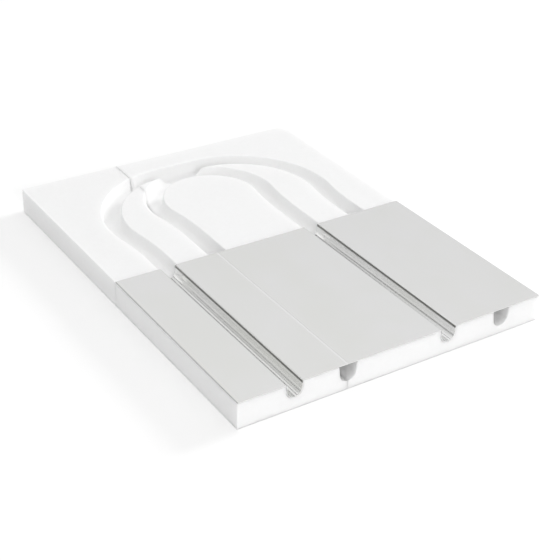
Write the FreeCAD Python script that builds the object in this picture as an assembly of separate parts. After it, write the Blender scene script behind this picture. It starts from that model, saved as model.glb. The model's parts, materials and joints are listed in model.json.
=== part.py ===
import FreeCAD, Part
import math
import os

# Dry-laid underfloor heating set: four grooved foam boards butted together, and two
# aluminium heat plates pressed into the grooves of the front pair.
# Millimetres. +X is to the right, +Y runs back along the straight grooves, +Z is up.
# The origin is the middle of the set's underside.

# ---- Driving dimensions -------------------------------------------------------------

SET_WIDTH = 375.0          # all boards, left to right
SET_LENGTH = 500.0         # all boards, front to back
BOARD_THICKNESS = 30.0
JOINT_GAP = 0.4            # between boards that are butted by hand
SEAM_X = -61.5             # joint between the narrow and the wide boards
SEAM_Y = 0.0               # joint between the straight and the turn boards

PIPE_RADIUS = 8.5          # the heating pipe that the grooves and channels are for

GROOVE_RUN_1 = -124.0      # centrelines of the straight grooves
GROOVE_RUN_2 = SEAM_X
GROOVE_RUN_3 = 63.5
GROOVE_RUN_4 = 134.5
TURN_LEG_4 = 128.5         # the turn's outer right leg stands 6 mm inside groove 4

GROOVE_DEPTH = 20.0
GROOVE_BOTTOM_RADIUS = 9.6
GROOVE_HALF_WIDTH = 11.0   # at the top of its straight walls, under the bevelled lips
LIP_BEVEL = 1.2

INNER_TURN_TOP = 190.0     # centreline of each return bend, at its furthest back
OUTER_TURN_TOP = 206.5
OUTER_TURN_RADIUS = 107.5
TURN_BULGE = 6.0           # how far a return bend swells beyond its legs
EASING_RADIUS = 300.0      # of the gentle curve from a leg into the swell

SHEET = 0.5                # thickness of the aluminium
PLATE_LIFT = 0.1           # the sheet lies this far off the foam
PLATE_GAP = 0.5            # between the two plates, above groove 2
CHANNEL_RADIUS = PIPE_RADIUS + 0.1
CHANNEL_DEPTH = 16.2       # from the plate's top to the channel's lowest inside point
CHANNEL_LEAN = math.radians(2.5)   # the walls lean in above the pipe, to hold it
CHANNEL_LIP_RADIUS = 2.0

# ---- Sizes worked out from them -----------------------------------------------------

LEFT = -SET_WIDTH / 2
RIGHT = SET_WIDTH / 2
FRONT = -SET_LENGTH / 2
BACK = SET_LENGTH / 2
HALF_GAP = JOINT_GAP / 2
PLATE_TOP = BOARD_THICKNESS + PLATE_LIFT + SHEET
OVERRUN = 5.0              # how far a cutter passes the faces that it cuts

UP = FreeCAD.Vector(0, 0, 1)


def xz(x, z):
    """A point in the plane of a section, which faces along Y."""
    return FreeCAD.Vector(x, 0, z)


def around(centre, radius, angle):
    """The point at an angle on a circle that faces along Y."""
    return centre + xz(radius * math.cos(angle), radius * math.sin(angle))


def arc(centre, radius, start, end):
    """The edge from one angle to another on a circle that faces along Y."""
    middle = around(centre, radius, (start + end) / 2)
    return Part.Arc(around(centre, radius, start), middle, around(centre, radius, end)).toShape()


def line(a, b):
    return Part.LineSegment(a, b).toShape()


def with_mirror(edges):
    """One half of an outline, from its middle outwards, joined to its mirror image."""
    mirrored = [edge.mirror(FreeCAD.Vector(), FreeCAD.Vector(1, 0, 0)) for edge in edges]
    return mirrored[::-1] + edges


def save(shape, name):
    shape.exportStep(os.path.join("parts", name + ".step"))


# ---- Grooves ------------------------------------------------------------------------


def groove_section():
    """What the groove removes, on x = 0: round bottom, leaning walls, bevelled lips."""
    top = BOARD_THICKNESS
    bottom_centre = xz(0, top - GROOVE_DEPTH + GROOVE_BOTTOM_RADIUS)
    shoulder = xz(GROOVE_HALF_WIDTH, top - LIP_BEVEL)
    lip = shoulder + xz(LIP_BEVEL, LIP_BEVEL)
    cutter_top = lip + xz(0, OVERRUN)
    # The wall is the tangent from the shoulder to the bottom's circle.
    reach = shoulder - bottom_centre
    lean = math.atan2(reach.z, reach.x) - math.acos(GROOVE_BOTTOM_RADIUS / reach.Length)
    right_side = [
        arc(bottom_centre, GROOVE_BOTTOM_RADIUS, -math.pi / 2, lean),
        line(around(bottom_centre, GROOVE_BOTTOM_RADIUS, lean), shoulder),
        line(shoulder, lip),
        line(lip, cutter_top),
    ]
    closing = line(cutter_top, xz(-cutter_top.x, cutter_top.z))
    return Part.Face(Part.Wire(with_mirror(right_side) + [closing]))


class Groove:
    """A cutter that is drawn like a pen stroke: straight runs and level bends.

    The heading is an angle from +X. A positive bend turns left, a negative one right.
    """

    def __init__(self, x, y, heading):
        self.place = FreeCAD.Vector(x, y, 0)
        self.heading = heading
        self.pieces = []

    def section_here(self):
        section = groove_section()
        section.rotate(FreeCAD.Vector(), UP, self.heading - 90)
        section.translate(self.place)
        return section

    def direction(self, angle):
        radians = math.radians(angle)
        return FreeCAD.Vector(math.cos(radians), math.sin(radians), 0)

    def run(self, length):
        step = self.direction(self.heading) * length
        self.pieces.append(self.section_here().extrude(step))
        self.place = self.place + step

    def bend(self, radius, angle):
        side = 90 if angle > 0 else -90
        centre = self.place + self.direction(self.heading + side) * radius
        self.pieces.append(self.section_here().revolve(centre, UP, angle))
        self.heading += angle
        self.place = centre + self.direction(self.heading - side) * radius

    def solid(self):
        first, rest = self.pieces[0], self.pieces[1:]
        return first.multiFuse(rest).removeSplitter() if rest else first


def straight_groove(x):
    groove = Groove(x, FRONT - OVERRUN, 90)
    groove.run(SET_LENGTH / 2 + 2 * OVERRUN)
    return groove.solid()


def return_bend(left_leg, right_leg, radius, top):
    """One pipe's way through the turn boards: in along one leg, round, and back out.

    The bend swells a little beyond its legs, so that the pipe needn't bend as tightly.
    """
    left_centre = left_leg - TURN_BULGE + radius
    right_centre = right_leg + TURN_BULGE - radius
    across = radius - TURN_BULGE + EASING_RADIUS
    swell = math.degrees(math.acos(across / (radius + EASING_RADIUS)))
    rise = (radius + EASING_RADIUS) * math.sin(math.radians(swell))
    leg_length = top - radius - rise - SEAM_Y + OVERRUN

    groove = Groove(left_leg, SEAM_Y - OVERRUN, 90)
    groove.run(leg_length)
    groove.bend(EASING_RADIUS, swell)
    groove.bend(radius, -90 - swell)
    if right_centre > left_centre:
        groove.run(right_centre - left_centre)
    groove.bend(radius, -90 - swell)
    groove.bend(EASING_RADIUS, swell)
    groove.run(leg_length)
    return groove.solid()


# ---- Foam boards --------------------------------------------------------------------


def slab(x_from, x_to, y_from, y_to):
    corner = FreeCAD.Vector(x_from, y_from, 0)
    return Part.makeBox(x_to - x_from, y_to - y_from, BOARD_THICKNESS, corner)


def board(x_from, x_to, y_from, y_to, grooves):
    cut = slab(x_from, x_to, y_from, y_to)
    for groove in grooves:
        cut = cut.cut(groove)
    return cut.removeSplitter().Solids[0]


def make_boards():
    inner_radius = (GROOVE_RUN_3 - GROOVE_RUN_2) / 2 + TURN_BULGE
    straight = [straight_groove(x) for x in (GROOVE_RUN_1, GROOVE_RUN_2, GROOVE_RUN_3, GROOVE_RUN_4)]
    turns = [
        return_bend(GROOVE_RUN_2, GROOVE_RUN_3, inner_radius, INNER_TURN_TOP),
        return_bend(GROOVE_RUN_1, TURN_LEG_4, OUTER_TURN_RADIUS, OUTER_TURN_TOP),
    ]
    narrow = (LEFT, SEAM_X - HALF_GAP)
    wide = (SEAM_X + HALF_GAP, RIGHT)
    front_row = (FRONT, SEAM_Y - HALF_GAP)
    back_row = (SEAM_Y + HALF_GAP, BACK)
    save(board(*narrow, *front_row, straight), "straight_board_narrow")
    save(board(*wide, *front_row, straight), "straight_board_wide")
    save(board(*narrow, *back_row, turns), "turn_board_narrow")
    save(board(*wide, *back_row, turns), "turn_board_wide")


# ---- Heat plates --------------------------------------------------------------------


def sheet_line(offset, left_end, right_end):
    """One surface of the plate, left to right, with its channel on x = 0.

    Offset 0 is the surface that the pipe touches. The sheet's thickness is the other.
    """
    lean = CHANNEL_LEAN
    top = PLATE_TOP - offset
    axis = xz(0, PLATE_TOP - CHANNEL_DEPTH + CHANNEL_RADIUS)
    lip_rise = CHANNEL_LIP_RADIUS + (CHANNEL_RADIUS + CHANNEL_LIP_RADIUS) * math.sin(lean)
    wall_length = (CHANNEL_DEPTH - CHANNEL_RADIUS - lip_rise) / math.cos(lean)
    wall = xz(-math.sin(lean), math.cos(lean)) * wall_length
    foot = around(axis, CHANNEL_RADIUS + offset, lean)
    lip_centre = around(axis, CHANNEL_RADIUS + CHANNEL_LIP_RADIUS, lean) + wall
    channel = [
        arc(axis, CHANNEL_RADIUS + offset, -math.pi / 2, lean),
        line(foot, foot + wall),
        arc(lip_centre, CHANNEL_LIP_RADIUS - offset, math.pi + lean, math.pi / 2),
    ]
    left_flat = line(xz(left_end, top), xz(-lip_centre.x, top))
    right_flat = line(xz(lip_centre.x, top), xz(right_end, top))
    return [left_flat] + with_mirror(channel) + [right_flat]


def heat_plate(x_from, x_to, channel_x):
    """A flat sheet with one pressed channel, from the front edge to the turn boards."""
    left_end = x_from - channel_x
    right_end = x_to - channel_x
    underside = PLATE_TOP - SHEET
    outline = sheet_line(0.0, left_end, right_end)
    outline.append(line(xz(right_end, PLATE_TOP), xz(right_end, underside)))
    outline += sheet_line(SHEET, left_end, right_end)[::-1]
    outline.append(line(xz(left_end, underside), xz(left_end, PLATE_TOP)))
    section = Part.Face(Part.Wire(outline))
    section.translate(FreeCAD.Vector(channel_x, FRONT, 0))
    return section.extrude(FreeCAD.Vector(0, SEAM_Y - HALF_GAP - FRONT, 0))


def make_plates():
    save(heat_plate(LEFT, SEAM_X - PLATE_GAP / 2, GROOVE_RUN_1), "heat_plate_narrow")
    save(heat_plate(SEAM_X + PLATE_GAP / 2, RIGHT, GROOVE_RUN_3), "heat_plate_wide")


os.makedirs("parts", exist_ok=True)
make_boards()
make_plates()
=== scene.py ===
import json
import math

import bmesh
import bpy
from mathutils import Matrix, Vector


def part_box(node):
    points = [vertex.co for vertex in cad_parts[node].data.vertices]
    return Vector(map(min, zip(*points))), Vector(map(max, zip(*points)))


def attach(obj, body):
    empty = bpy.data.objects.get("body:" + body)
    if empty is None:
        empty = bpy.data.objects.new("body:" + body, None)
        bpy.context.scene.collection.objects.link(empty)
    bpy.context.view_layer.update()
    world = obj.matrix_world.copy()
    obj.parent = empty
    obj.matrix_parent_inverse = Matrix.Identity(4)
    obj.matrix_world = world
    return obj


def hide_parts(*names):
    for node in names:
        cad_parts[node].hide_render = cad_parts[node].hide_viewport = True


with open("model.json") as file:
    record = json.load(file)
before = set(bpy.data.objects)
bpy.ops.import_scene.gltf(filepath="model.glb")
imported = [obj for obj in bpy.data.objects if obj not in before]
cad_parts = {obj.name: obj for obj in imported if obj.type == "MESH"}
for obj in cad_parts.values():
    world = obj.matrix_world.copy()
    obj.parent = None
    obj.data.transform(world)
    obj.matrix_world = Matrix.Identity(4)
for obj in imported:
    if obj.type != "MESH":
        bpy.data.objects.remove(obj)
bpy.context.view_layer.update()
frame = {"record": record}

# ---- Sizes, in metres. The first group repeats part.py's ------------------------------

RUNS = (-0.124, -0.0615, 0.0635, 0.1345)   # centrelines of the straight grooves
TURN_LEG_4 = 0.1285
INNER_TURN_TOP = 0.190
OUTER_TURN_TOP = 0.2065
OUTER_TURN_RADIUS = 0.1075
TURN_BULGE = 0.006
EASING_RADIUS = 0.300
OPEN_GROOVE = (0.020, 0.0096, 0.011)   # depth, bottom radius, half width at the shoulder
LIP_BEVEL = 0.0012
SHEET = 0.0005
CHANNEL_LEAN = math.radians(2.5)
CHANNEL_LIP_RADIUS = 0.0020

PLATED_GROOVE = (0.0164, 0.0094, 0.0094)   # as OPEN_GROOVE, but close round a plate's channel
LIP_RADIUS = 0.0015        # the foam's lips, rounded where part.py bevels them
BOARD_EDGE = 0.0003        # rounding of the boards' own edges
MEET = 0.00019             # at the long seam, each facing edge comes this much nearer the other
BACK_CORNERS = {"turn_board_narrow": 0.003, "turn_board_wide": 0.014}   # radius, from above
SMOOTH_ANGLE = math.radians(38)
SEAM_HIGHLIGHT_WIDTH = 0.0020    # the painted highlight along the narrow plate's sheared edge at the seam
FOLD_SHADE_DEPTHS = (0.0038, 0.0026, 0.0009, 0.0007)   # below the top: the painted shade in the fold fades in and out
FOLD_SHADE_ACROSS = (0.003, 0.004, 0.013, 0.014)      # to the right of a channel's axis, the same
LEFT_EDGE_SHADOW = (0.0003, 0.0010)    # the painted shadow along the narrow plate's left edge: full to, gone by
BEAD = 0.0042              # foam bead, across

OVERRUN = 0.005            # how far a cutter passes the faces that it cuts
BEND_STEP = 0.003          # between points along a bend, at most

CAMERA_PLACE = Vector((-0.684, -1.053, 0.732))
CAMERA_AIM = Vector((-0.0196, -0.0633, 0.015))
CAMERA_ROLL = math.radians(1.9)
CAMERA_LENS = 81.7         # mm, on a 36 mm sensor


# ---- Node tools ---------------------------------------------------------------------


def greys(stops):
    """Ramp stops from (place, light)."""
    return [(place, (light,) * 3) for place, light in stops]


class Nodes:
    """A short way to build a node tree: node(kind, input=value or link, ...)."""

    def __init__(self, owner):
        owner.use_nodes = True
        self.owner = owner
        self.tree = owner.node_tree

    def plug(self, socket, value):
        if isinstance(value, bpy.types.NodeSocket):
            self.tree.links.new(value, socket)
        else:
            socket.default_value = value

    def node(self, kind, settings=None, **inputs):
        made = self.tree.nodes.new("ShaderNode" + kind)
        for key, value in (settings or {}).items():
            setattr(made, key, value)
        for key, value in inputs.items():
            self.plug(made.inputs[key.replace("_", " ")], value)
        return made

    def ramp(self, factor, stops):
        made = self.node("ValToRGB", Fac=factor)
        elements = made.color_ramp.elements
        while len(elements) < len(stops):
            elements.new(0.5)
        for element, (place, colour) in zip(elements, stops):
            element.position = place
            element.color = (*colour, 1)
        return made.outputs["Color"]

    def spread(self, value, *stops):
        """A grey ramp over real values: stops are (value, result)."""
        first, last = stops[0][0], stops[-1][0]
        share = self.node("MapRange", Value=value, From_Min=first, From_Max=last).outputs["Result"]
        return self.ramp(share, greys(((v - first) / (last - first), r) for v, r in stops))

    def windows(self, value, *edges):
        """1 between the middle two of each four edges, fading to 0 at the outer two."""
        return self.spread(value, *((edge, (0, 1, 1, 0)[i % 4]) for i, edge in enumerate(edges)))

    def maths(self, operation, first, second=0.0):
        made = self.node("Math", {"operation": operation})
        self.plug(made.inputs[0], first)
        self.plug(made.inputs[1], second)
        return made.outputs["Value"]

    def mix(self, share, first, second):
        """Two colours, mixed by share."""
        made = self.node("MixRGB", Fac=share)
        self.plug(made.inputs["Color1"], first)
        self.plug(made.inputs["Color2"], second)
        return made.outputs["Color"]

    def noise(self, place, scale, detail=2.0):
        """Noise with its own scale along each axis."""
        stretched = self.node("Mapping", Vector=place, Scale=scale).outputs["Vector"]
        return self.node("TexNoise", Vector=stretched, Scale=1.0, Detail=detail).outputs["Fac"]

    def finish(self, **inputs):
        """Sets the shader's inputs, and gives the material back."""
        shader = self.tree.nodes["Principled BSDF"]
        for key, value in inputs.items():
            self.plug(shader.inputs[key.replace("_", " ")], value)
        return self.owner


# ---- Materials ----------------------------------------------------------------------


def foam_material():
    """Expanded polystyrene: white, matt, made of pressed beads with fine seams."""
    m = Nodes(bpy.data.materials.new("foam_beads"))
    place = m.node("TexCoord").outputs["Object"]
    beads = m.node("TexVoronoi", {"feature": "DISTANCE_TO_EDGE"}, Vector=place, Scale=1 / BEAD)
    tone = m.node("TexVoronoi", {"feature": "F1"}, Vector=place, Scale=1 / BEAD)
    seam = m.ramp(beads.outputs["Distance"], greys([(0.0, 0.0), (0.10, 1.0)]))
    white = m.ramp(
        tone.outputs["Color"],
        [(0.1, (0.948, 0.948, 0.944)), (0.9, (0.962, 0.962, 0.959))],
    )
    pores = m.noise(place, (1100.0, 1100.0, 1100.0))
    fine = m.node("Bump", Height=pores, Strength=0.12, Distance=0.0002).outputs["Normal"]
    bump = m.node("Bump", Height=seam, Strength=0.20, Distance=0.00015, Normal=fine)
    return m.finish(
        Base_Color=white,
        Roughness=0.8,
        Specular_IOR_Level=0.2,
        Subsurface_Weight=1.0,
        Subsurface_Scale=0.005,
        Subsurface_Radius=(1.0, 1.0, 1.0),
        Normal=bump.outputs["Normal"],
    )


def plate_painted_light(m, place, sheet):
    """The sheet's colour with three painted marks: a painted highlight along the narrow plate's
    edge at the seam, painted shade in each channel's right fold, and a painted shadow along its
    left edge.
    """
    where = m.node("SeparateXYZ", Vector=place).outputs
    # Painted highlight: a brighter band along the narrow plate's edge at the seam.
    edge = RUNS[1] - SEAM_HIGHLIGHT_WIDTH / 2
    seam_highlight = m.windows(
        where["X"],
        edge - SEAM_HIGHLIGHT_WIDTH,
        edge - SEAM_HIGHLIGHT_WIDTH / 3,
        edge + SEAM_HIGHLIGHT_WIDTH / 3,
        edge + SEAM_HIGHLIGHT_WIDTH / 2,
    )
    marked = m.mix(seam_highlight, sheet, (0.96, 0.96, 0.955, 1))

    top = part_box("heat_plate_wide")[1][2]
    # Painted shade: a dark band high in each channel's right fold, where shade falls under the
    # lip.
    depth = m.windows(where["Z"], *(top - below for below in FOLD_SHADE_DEPTHS))
    fold_shade_across_band = m.windows(where["X"], *(x + dx for x in (RUNS[0], RUNS[2]) for dx in FOLD_SHADE_ACROSS))
    painted_fold_shade = m.mix(fold_shade_across_band, (0, 0, 0, 1), depth)
    marked = m.mix(painted_fold_shade, marked, (0.24, 0.24, 0.23, 1))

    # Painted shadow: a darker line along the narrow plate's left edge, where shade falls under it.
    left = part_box("heat_plate_narrow")[0][0]
    left_edge_shadow = m.spread(where["X"], (left, 1.0), (left + LEFT_EDGE_SHADOW[0], 1.0), (left + LEFT_EDGE_SHADOW[1], 0.0))
    return m.mix(left_edge_shadow, marked, (0.45, 0.45, 0.44, 1))


def aluminium_material():
    """Mill-finish sheet: satin, with fine rolling lines along Y and faint clouding."""
    m = Nodes(bpy.data.materials.new("mill_aluminium"))
    place = m.node("TexCoord").outputs["Object"]
    lines = m.noise(place, (1500.0, 9.0, 1500.0), 3.0)
    scores = m.noise(place, (520.0, 2.5, 520.0), 2.0)
    clouds = m.noise(place, (17.0, 11.0, 17.0), 2.0)
    sheet = m.ramp(clouds, [(0.35, (0.865, 0.868, 0.850)), (0.65, (0.885, 0.885, 0.882))])
    gloss = m.ramp(scores, greys([(0.35, 0.16), (0.7, 0.22)]))
    broad = m.node("Bump", Height=scores, Strength=0.05, Distance=0.00005).outputs["Normal"]
    bump = m.node("Bump", Height=lines, Strength=0.04, Distance=0.00002, Normal=broad)
    return m.finish(
        Base_Color=plate_painted_light(m, place, sheet),
        Metallic=1.0,
        Roughness=gloss,
        Normal=bump.outputs["Normal"],
    )


def floor_material():
    """Matt white that gives off a little light of its own, like a light table."""
    m = Nodes(bpy.data.materials.new("floor_white"))
    white = (0.98, 0.98, 0.98, 1)
    return m.finish(
        Base_Color=white,
        Roughness=0.9,
        Specular_IOR_Level=0.0,
        Emission_Color=white,
        Emission_Strength=0.07,
    )


# ---- Mesh tools ---------------------------------------------------------------------


def arc(centre, radius, start, end, steps):
    """Points on a circle in the plane of a section, from one angle to another."""
    angles = [start + (end - start) * i / steps for i in range(steps + 1)]
    return [(centre[0] + radius * math.cos(a), centre[1] + radius * math.sin(a)) for a in angles]


def link(name, mesh):
    made = bpy.data.objects.new(name, mesh)
    bpy.context.scene.collection.objects.link(made)
    return made


def sweep(name, section, path):
    """A closed solid: a closed section of (x, z) points carried along (x, y, heading) points."""
    mesh = bpy.data.meshes.new(name)
    bm = bmesh.new()
    rings = []
    for x, y, heading in path:
        across = Vector((math.sin(heading), -math.cos(heading), 0))
        ring = [Vector((x, y, sz)) + across * sx for sx, sz in section]
        rings.append([bm.verts.new(point) for point in ring])
    count = len(section)
    for a, b in zip(rings, rings[1:]):
        for i in range(count):
            j = (i + 1) % count
            bm.faces.new((a[i], a[j], b[j], b[i]))
    bm.faces.new(rings[0][::-1])
    bm.faces.new(rings[-1])
    bmesh.ops.recalc_face_normals(bm, faces=bm.faces)
    bm.to_mesh(mesh)
    bm.free()
    return link(name, mesh)


def smooth(piece):
    """Smooth shading up to SMOOTH_ANGLE, with the large flat faces kept flat."""
    piece.data.shade_smooth()
    piece.data.set_sharp_from_angle(angle=SMOOTH_ANGLE)
    weights = piece.modifiers.new("weights", "WEIGHTED_NORMAL")
    weights.keep_sharp = True


def nearer(x):
    """An edge at the long seam, moved to close most of the gap; any other x unchanged."""
    return x + math.copysign(MEET, RUNS[1] - x) if abs(x - RUNS[1]) < 0.001 else x


# ---- Foam boards --------------------------------------------------------------------


def groove_section(top, depth, bottom_radius, half_width):
    """The outline of a groove's cutter: round bottom, leaning walls, rounded lips."""
    bottom_z = top - depth + bottom_radius
    shoulder = (half_width, top - LIP_BEVEL)
    reach = math.hypot(shoulder[0], shoulder[1] - bottom_z)
    lean = math.atan2(shoulder[1] - bottom_z, shoulder[0]) - math.acos(bottom_radius / reach)
    # The lip's centre, whose circle touches the wall and the top.
    rise = (LIP_BEVEL - LIP_RADIUS * (1 + math.sin(lean))) / math.cos(lean)
    lip = (
        shoulder[0] - math.sin(lean) * rise + LIP_RADIUS * math.cos(lean),
        top - LIP_RADIUS,
    )
    right = arc((0, bottom_z), bottom_radius, -math.pi / 2, lean, steps=14)
    # The lip stops just short of level, so that the cutter crosses the top face cleanly.
    right += arc(lip, LIP_RADIUS, math.pi + lean, math.radians(96), steps=7)
    right += [(lip[0] + 0.0002, top + 0.00002), (lip[0] + 0.0002, top + OVERRUN)]
    left = [(-x, z) for x, z in right[:0:-1]]
    return right + left


class Pen:
    """Draws a path of (x, y, heading) points, with straight runs and level bends."""

    def __init__(self, x, y):
        self.x, self.y, self.heading = x, y, math.pi / 2
        self.path = [(x, y, self.heading)]

    def run(self, length):
        self.x += math.cos(self.heading) * length
        self.y += math.sin(self.heading) * length
        self.path.append((self.x, self.y, self.heading))

    def bend(self, radius, angle):
        steps = max(2, math.ceil(radius * abs(angle) / BEND_STEP))
        side = math.copysign(math.pi / 2, angle)
        cx = self.x + math.cos(self.heading + side) * radius
        cy = self.y + math.sin(self.heading + side) * radius
        for _ in range(steps):
            self.heading += angle / steps
            self.x = cx + math.cos(self.heading - side) * radius
            self.y = cy + math.sin(self.heading - side) * radius
            self.path.append((self.x, self.y, self.heading))


def straight_path(x, front, back):
    pen = Pen(x, front - OVERRUN)
    pen.run(back - front + 2 * OVERRUN)
    return pen.path


def turn_path(left_leg, right_leg, radius, top):
    """The same return bend as part.py's."""
    across = radius - TURN_BULGE + EASING_RADIUS
    swell = math.acos(across / (radius + EASING_RADIUS))
    rise = (radius + EASING_RADIUS) * math.sin(swell)
    leg = top - radius - rise + OVERRUN
    pen = Pen(left_leg, -OVERRUN)
    pen.run(leg)
    pen.bend(EASING_RADIUS, swell)
    pen.bend(radius, -math.pi / 2 - swell)
    across_top = (right_leg + TURN_BULGE - radius) - (left_leg - TURN_BULGE + radius)
    if across_top > 1e-6:
        pen.run(across_top)
    pen.bend(radius, -math.pi / 2 - swell)
    pen.bend(EASING_RADIUS, swell)
    pen.run(leg)
    return pen.path


def slab(name, low, high, corner):
    """A block that just fills the box, with softened edges but for those on the floor.

    If corner isn't 0, it is the radius of the back corner that is further from the seam.
    """
    mesh = bpy.data.meshes.new(name)
    bm = bmesh.new()
    bmesh.ops.create_cube(bm, size=1.0)
    middle = (low + high) / 2
    for vert in bm.verts:
        vert.co = middle + Vector(c * s for c, s in zip(vert.co, high - low))
    if corner:
        outer = Vector((high.x if middle.x > RUNS[1] else low.x, high.y))
        upright = [e for e in bm.edges if all((v.co.xy - outer).length < 1e-6 for v in e.verts)]
        bmesh.ops.bevel(bm, geom=upright, offset=corner, segments=12, profile=0.5, affect="EDGES")
    raised = [e for e in bm.edges if max(v.co.z for v in e.verts) > middle.z]
    sharp = [e for e in raised if e.calc_face_angle(0.0) > 1.0]
    bmesh.ops.bevel(bm, geom=sharp, offset=BOARD_EDGE, segments=3, profile=0.5, affect="EDGES")
    bm.to_mesh(mesh)
    bm.free()
    return link(name, mesh)


def board(node, grooves, material):
    """A foam board that replaces a CAD board, with its grooves cut: (path, size) pairs."""
    low, high = (Vector((nearer(x), y, z)) for x, y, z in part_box(node))
    piece = slab(node + "_foam", low, high, BACK_CORNERS.get(node, 0.0))
    cutters = [sweep("cutter", groove_section(high.z, *size), path) for path, size in grooves]
    for cutter in cutters:
        cut = piece.modifiers.new("cut", "BOOLEAN")
        cut.operation = "DIFFERENCE"
        cut.solver = "EXACT"
        cut.object = cutter
    bpy.context.view_layer.update()
    finished = piece.evaluated_get(bpy.context.evaluated_depsgraph_get())
    mesh = bpy.data.meshes.new_from_object(finished)
    piece.modifiers.clear()
    piece.data = mesh
    for cutter in cutters:
        bpy.data.objects.remove(cutter)
    smooth(piece)
    mesh.materials.clear()
    mesh.materials.append(material)
    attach(piece, node)
    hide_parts(node)


def make_boards(material):
    inner_radius = (RUNS[2] - RUNS[1]) / 2 + TURN_BULGE
    turns = [
        (turn_path(RUNS[1], RUNS[2], inner_radius, INNER_TURN_TOP), OPEN_GROOVE),
        (turn_path(RUNS[0], TURN_LEG_4, OUTER_TURN_RADIUS, OUTER_TURN_TOP), OPEN_GROOVE),
    ]
    front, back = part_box("straight_board_wide")[0][1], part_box("straight_board_wide")[1][1]
    sizes = (PLATED_GROOVE, OPEN_GROOVE, PLATED_GROOVE, OPEN_GROOVE)
    straight = [(straight_path(x, front, back), size) for x, size in zip(RUNS, sizes)]
    board("straight_board_narrow", straight[:2], material)
    board("straight_board_wide", straight[1:], material)
    board("turn_board_narrow", turns, material)
    board("turn_board_wide", turns, material)


# ---- Heat plates --------------------------------------------------------------------


def plate_half(axis_z, radius, top, offset):
    """The right half of the channel's line, bottom to flat, in (x, z) from its axis."""
    lean = CHANNEL_LEAN
    lip_rise = CHANNEL_LIP_RADIUS + (radius + CHANNEL_LIP_RADIUS) * math.sin(lean)
    wall = (top - axis_z - lip_rise) / math.cos(lean)
    lip = (
        math.cos(lean) * (radius + CHANNEL_LIP_RADIUS) - math.sin(lean) * wall,
        axis_z + math.sin(lean) * (radius + CHANNEL_LIP_RADIUS) + math.cos(lean) * wall,
    )
    points = arc((0, axis_z), radius + offset, -math.pi / 2, lean, steps=22)
    points += arc(lip, CHANNEL_LIP_RADIUS - offset, math.pi + lean, math.pi / 2, steps=6)
    return points


def heat_plate(node, mount, material):
    """A plate that replaces a CAD plate, with its channel where the record's mount is."""
    low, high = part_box(node)
    channel = next(m for m in frame["record"]["mounts"] if m["name"] == mount)
    axis_x, axis_z = channel["pos_m"][0], channel["pos_m"][2]
    radius = channel["dims"]["r_mm"] / 1000
    top = high[2]

    def surface(offset):
        half = plate_half(axis_z, radius, top, offset)
        middle = [(-x, z) for x, z in half[:0:-1]] + half
        left, right = nearer(low[0]) - axis_x, nearer(high[0]) - axis_x
        return [(left, top - offset)] + middle + [(right, top - offset)]

    section = surface(0.0) + surface(SHEET)[::-1]
    steps = 24
    ys = [low[1] + (high[1] - low[1]) * i / steps for i in range(steps + 1)]
    piece = sweep(node + "_sheet", section, [(axis_x, y, math.pi / 2) for y in ys])
    smooth(piece)
    piece.data.materials.append(material)
    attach(piece, node)
    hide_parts(node)


# ---- Stage --------------------------------------------------------------------------


def facing(place, aim):
    """The matrix of a camera or lamp at a place, which faces its aim."""
    turn = (aim - place).to_track_quat("-Z", "Y").to_matrix().to_4x4()
    return Matrix.Translation(place) @ turn


def add_camera():
    camera = bpy.data.objects.new("camera", bpy.data.cameras.new("camera"))
    bpy.context.scene.collection.objects.link(camera)
    camera.data.lens = CAMERA_LENS
    camera.data.sensor_width = 36.0
    roll = Matrix.Rotation(CAMERA_ROLL, 4, "Z")
    camera.matrix_world = facing(CAMERA_PLACE, CAMERA_AIM) @ roll
    bpy.context.scene.camera = camera


def add_floor():
    half = 6.0
    mesh = bpy.data.meshes.new("floor")
    corners = [(-half, -half, 0), (half, -half, 0), (half, half, 0), (-half, half, 0)]
    mesh.from_pydata(corners, [], [(0, 1, 2, 3)])
    mesh.materials.append(floor_material())
    link("floor", mesh)


def add_light(name, place, aim, size, power):
    light = bpy.data.lights.new(name, "AREA")
    light.shape = "DISK"
    light.size = size
    light.energy = power
    lamp = bpy.data.objects.new(name, light)
    bpy.context.scene.collection.objects.link(lamp)
    lamp.matrix_world = facing(Vector(place), Vector(aim))


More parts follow.
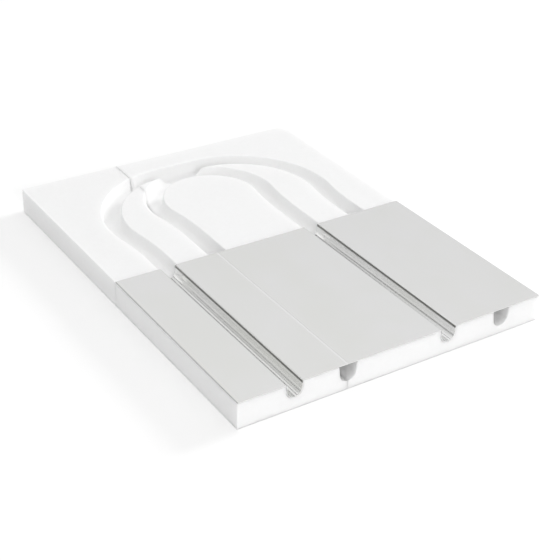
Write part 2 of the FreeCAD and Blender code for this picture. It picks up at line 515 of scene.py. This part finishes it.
def add_world(front, back, left, gaps):
    """A studio of soft panels, with dim gaps between them.

    front and back are (height, light) stops, and the light on the far left is scaled by left.
    A gap is (bearing from +X in degrees, half width, lowest height, highest height).
    """
    world = bpy.data.worlds.new("studio")
    bpy.context.scene.world = world
    w = Nodes(world)
    ray = w.node("TexCoord").outputs["Generated"]
    where = w.node("SeparateXYZ", Vector=ray).outputs

    # Front turns to back from Y = -0.4 to 0.4.
    backward = w.maths("ADD", w.maths("MULTIPLY", where["Y"], 1.25), 0.5)
    blend = w.ramp(backward, greys([(0.0, 0.0), (1.0, 1.0)]))
    light = w.mix(blend, w.ramp(where["Z"], greys(front)), w.ramp(where["Z"], greys(back)))
    leftward = w.maths("MULTIPLY", where["X"], -1.0)
    light = w.maths("MULTIPLY", light, w.ramp(leftward, greys([(0.72, 1.0), (0.80, left)])))

    bearing = w.maths("ARCTAN2", where["Y"], where["X"])
    fade = 0.05   # at a gap's lower and upper ends
    for middle, half_width, low, high in gaps:
        # The share is 0.5 at the half width, and the gap fades on either side of it.
        away = w.maths("ABSOLUTE", w.maths("SUBTRACT", bearing, math.radians(middle)))
        share = w.maths("DIVIDE", away, math.radians(half_width) * 2)
        across = w.ramp(share, greys([(0.35, 1.0), (0.65, 0.0)]))
        ends = [(low, 0.0), (low + fade, 1.0), (high - fade, 1.0), (high, 0.0)]
        along = w.ramp(where["Z"], greys(ends))
        kept = w.maths("SUBTRACT", 1.0, w.maths("MULTIPLY", across, along))
        light = w.maths("MULTIPLY", light, kept)
    w.plug(w.tree.nodes["Background"].inputs["Color"], light)


# ---- The scene ----------------------------------------------------------------------

make_boards(foam_material())
aluminium = aluminium_material()
heat_plate("heat_plate_narrow", "pipe_channel_left", aluminium)
heat_plate("heat_plate_wide", "pipe_channel_right", aluminium)

add_camera()
add_floor()
horizon = [(0.0, 0.95), (0.04, 0.95)]
overhead = [(0.8, 0.92), (1.0, 0.96)]
add_world(
    front=horizon + [(0.08, 0.22), (0.30, 0.40), (0.6, 0.70)] + overhead,
    back=horizon + [(0.08, 0.64), (0.25, 0.72), (0.5, 0.80)] + overhead,
    left=0.36,
    gaps=[(97, 4, 0.50, 0.84), (124, 3, 0.28, 0.64)],
)
add_light("key", (-0.6, -3.4, 1.5), (0, 0, 0), 1.0, 31.0)
add_light("side", (6.0, 0.4, 2.4), (0, 0, 0), 2.0, 170.0)

view = bpy.context.scene.view_settings
view.view_transform = "Standard"
view.look = "None"
